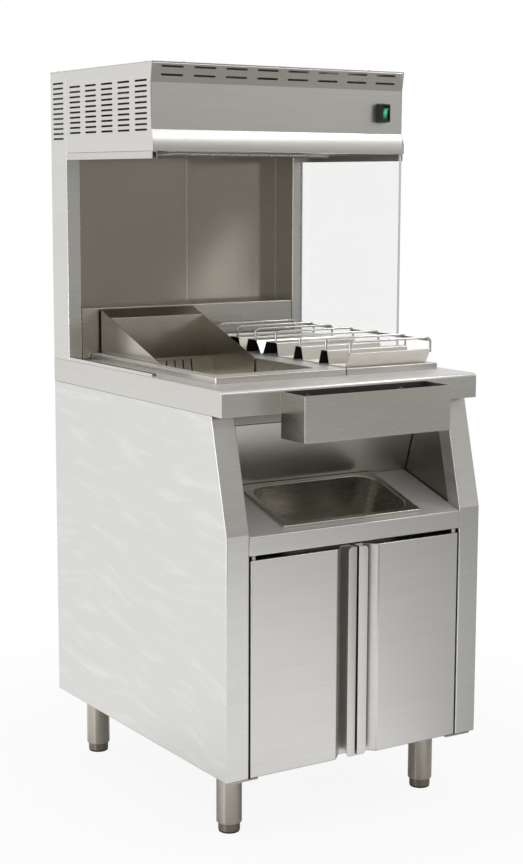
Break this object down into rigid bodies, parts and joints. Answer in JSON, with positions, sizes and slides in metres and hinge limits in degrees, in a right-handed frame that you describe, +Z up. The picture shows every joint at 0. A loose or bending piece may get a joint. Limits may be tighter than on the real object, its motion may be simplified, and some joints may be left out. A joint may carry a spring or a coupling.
{
  "type": "french fry dump station",
  "caption": "Steel station for holding fried chips: heated hood over a dump pan with chute and bagging racks, hung trough, sloping niche with pan, and a cupboard on screw feet.",
  "frame": {"origin": "at floor level, under the middle of the overall width and depth (the trough included)", "axes": "+X to the right as the operator faces it, +Y to the back, +Z up"},
  "size_m": [0.6, 0.78, 1.483],
  "materials": {
    "casing_steel": "fine brushed, semi-matt",
    "inner_steel": "brushed, duller",
    "satin_steel": "satin, turned",
    "wire_steel": "bright drawn wire",
    "mirror_steel": "polished",
    "black_plastic": "moulded, slight grain",
    "green_lens": "clear tinted, lit from behind",
    "clear_glass": "toughened, polished edges",
    "quartz": "frosted tube",
    "ceramic": "unglazed ceramic"
  },
  "bodies": {
    "station": {"side_panel_left": "casing_steel", "side_panel_right": "casing_steel", "cabinet_floor": "casing_steel", "cabinet_back": "casing_steel", "cable_gland": "black_plastic", "niche_shelf": "casing_steel", "niche_back": "inner_steel", "niche_cheek_left": "inner_steel", "niche_cheek_right": "inner_steel", "cross_rail": "inner_steel", "hinge_pin_left": "satin_steel", "hinge_bracket_left": "satin_steel", "hinge_pin_right": "satin_steel", "hinge_bracket_right": "satin_steel", "door_catch": "black_plastic", "leg_front_left": "satin_steel", "leg_front_right": "satin_steel", "leg_rear_left": "satin_steel", "leg_rear_right": "satin_steel", "worktop": "casing_steel", "upstand": "casing_steel", "post_left": "casing_steel", "post_right": "casing_steel", "rear_panel": "inner_steel", "hood_front": "casing_steel", "hood_side_left": "casing_steel", "hood_side_right": "casing_steel", "hood_top": "casing_steel", "lamp_tray": "inner_steel", "lamp_reflector": "mirror_steel", "lamp_front": "quartz", "lamp_rear": "quartz", "lamp_holder_left": "ceramic", "lamp_holder_right": "ceramic", "lamp_guard": "wire_steel", "glass_channel_top_left": "casing_steel", "glass_channel_bottom_left": "casing_steel", "glass_channel_top_right": "casing_steel", "glass_channel_bottom_right": "casing_steel", "switch_housing": "black_plastic"},
    "door_left": {"door_left": "casing_steel", "door_liner_left": "inner_steel"},
    "door_right": {"door_right": "casing_steel", "door_liner_right": "inner_steel"},
    "switch_rocker": {"switch_rocker": "green_lens"},
    "foot_front_left": {"foot_front_left": "satin_steel"},
    "foot_front_right": {"foot_front_right": "satin_steel"},
    "foot_rear_left": {"foot_rear_left": "satin_steel"},
    "foot_rear_right": {"foot_rear_right": "satin_steel"},
    "dump_pan": {"dump_pan": "casing_steel"},
    "drain_plate": {"drain_plate": "inner_steel"},
    "dump_chute": {"dump_chute": "casing_steel"},
    "rack_tray": {"rack_tray": "casing_steel"},
    "rack_front": {"rack_front": "casing_steel", "rack_front_wires": "wire_steel"},
    "rack_rear": {"rack_rear": "casing_steel", "rack_rear_wires": "wire_steel"},
    "lower_pan": {"lower_pan": "casing_steel"},
    "trough": {"trough": "casing_steel"},
    "glass_pane": {"glass_pane": "clear_glass"}
  },
  "joints": [
    {"name": "door_left_hinge", "type": "hinge", "parent": "station", "child": "door_left", "pos_m": [-0.238, -0.322, 0.35], "axis": [0, 0, -1], "range_deg": [0, 110]},
    {"name": "door_right_hinge", "type": "hinge", "parent": "station", "child": "door_right", "pos_m": [0.238, -0.322, 0.35], "axis": [0, 0, 1], "range_deg": [0, 110]},
    {"name": "switch_rock", "type": "hinge", "parent": "station", "child": "switch_rocker", "pos_m": [0.246, -0.0603, 1.3975], "axis": [1, 0, 0], "range_deg": [-20, 0]},
    {"name": "foot_front_left_screw", "type": "slide", "parent": "station", "child": "foot_front_left", "axis": [0, 0, -1], "range_m": [-0.015, 0.02]},
    {"name": "foot_front_right_screw", "type": "slide", "parent": "station", "child": "foot_front_right", "axis": [0, 0, -1], "range_m": [-0.015, 0.02]},
    {"name": "foot_rear_left_screw", "type": "slide", "parent": "station", "child": "foot_rear_left", "axis": [0, 0, -1], "range_m": [-0.015, 0.02]},
    {"name": "foot_rear_right_screw", "type": "slide", "parent": "station", "child": "foot_rear_right", "axis": [0, 0, -1], "range_m": [-0.015, 0.02]},
    {"name": "dump_pan_lift", "type": "slide", "parent": "station", "child": "dump_pan", "axis": [0, 0, 1], "range_m": [0, 0.115]},
    {"name": "drain_plate_lift", "type": "slide", "parent": "dump_pan", "child": "drain_plate", "axis": [0, 0, 1], "range_m": [0, 0.095]},
    {"name": "dump_chute_lift", "type": "slide", "parent": "drain_plate", "child": "dump_chute", "axis": [0, 0, 1], "range_m": [0, 0.1]},
    {"name": "rack_tray_lift", "type": "slide", "parent": "station", "child": "rack_tray", "axis": [0, 0, 1], "range_m": [0, 0.06]},
    {"name": "rack_front_lift", "type": "slide", "parent": "rack_tray", "child": "rack_front", "axis": [0, 0, 1], "range_m": [0, 0.12]},
    {"name": "rack_rear_lift", "type": "slide", "parent": "rack_tray", "child": "rack_rear", "axis": [0, 0, 1], "range_m": [0, 0.12]},
    {"name": "lower_pan_lift", "type": "slide", "parent": "station", "child": "lower_pan", "axis": [0, -0.2974, 0.9548], "range_m": [0, 0.11]},
    {"name": "trough_lift", "type": "slide", "parent": "station", "child": "trough", "axis": [0, 0, 1], "range_m": [0, 0.012]},
    {"name": "glass_pane_slide", "type": "slide", "parent": "station", "child": "glass_pane", "axis": [0, -1, 0], "range_m": [0, 0.36]}
  ]
}
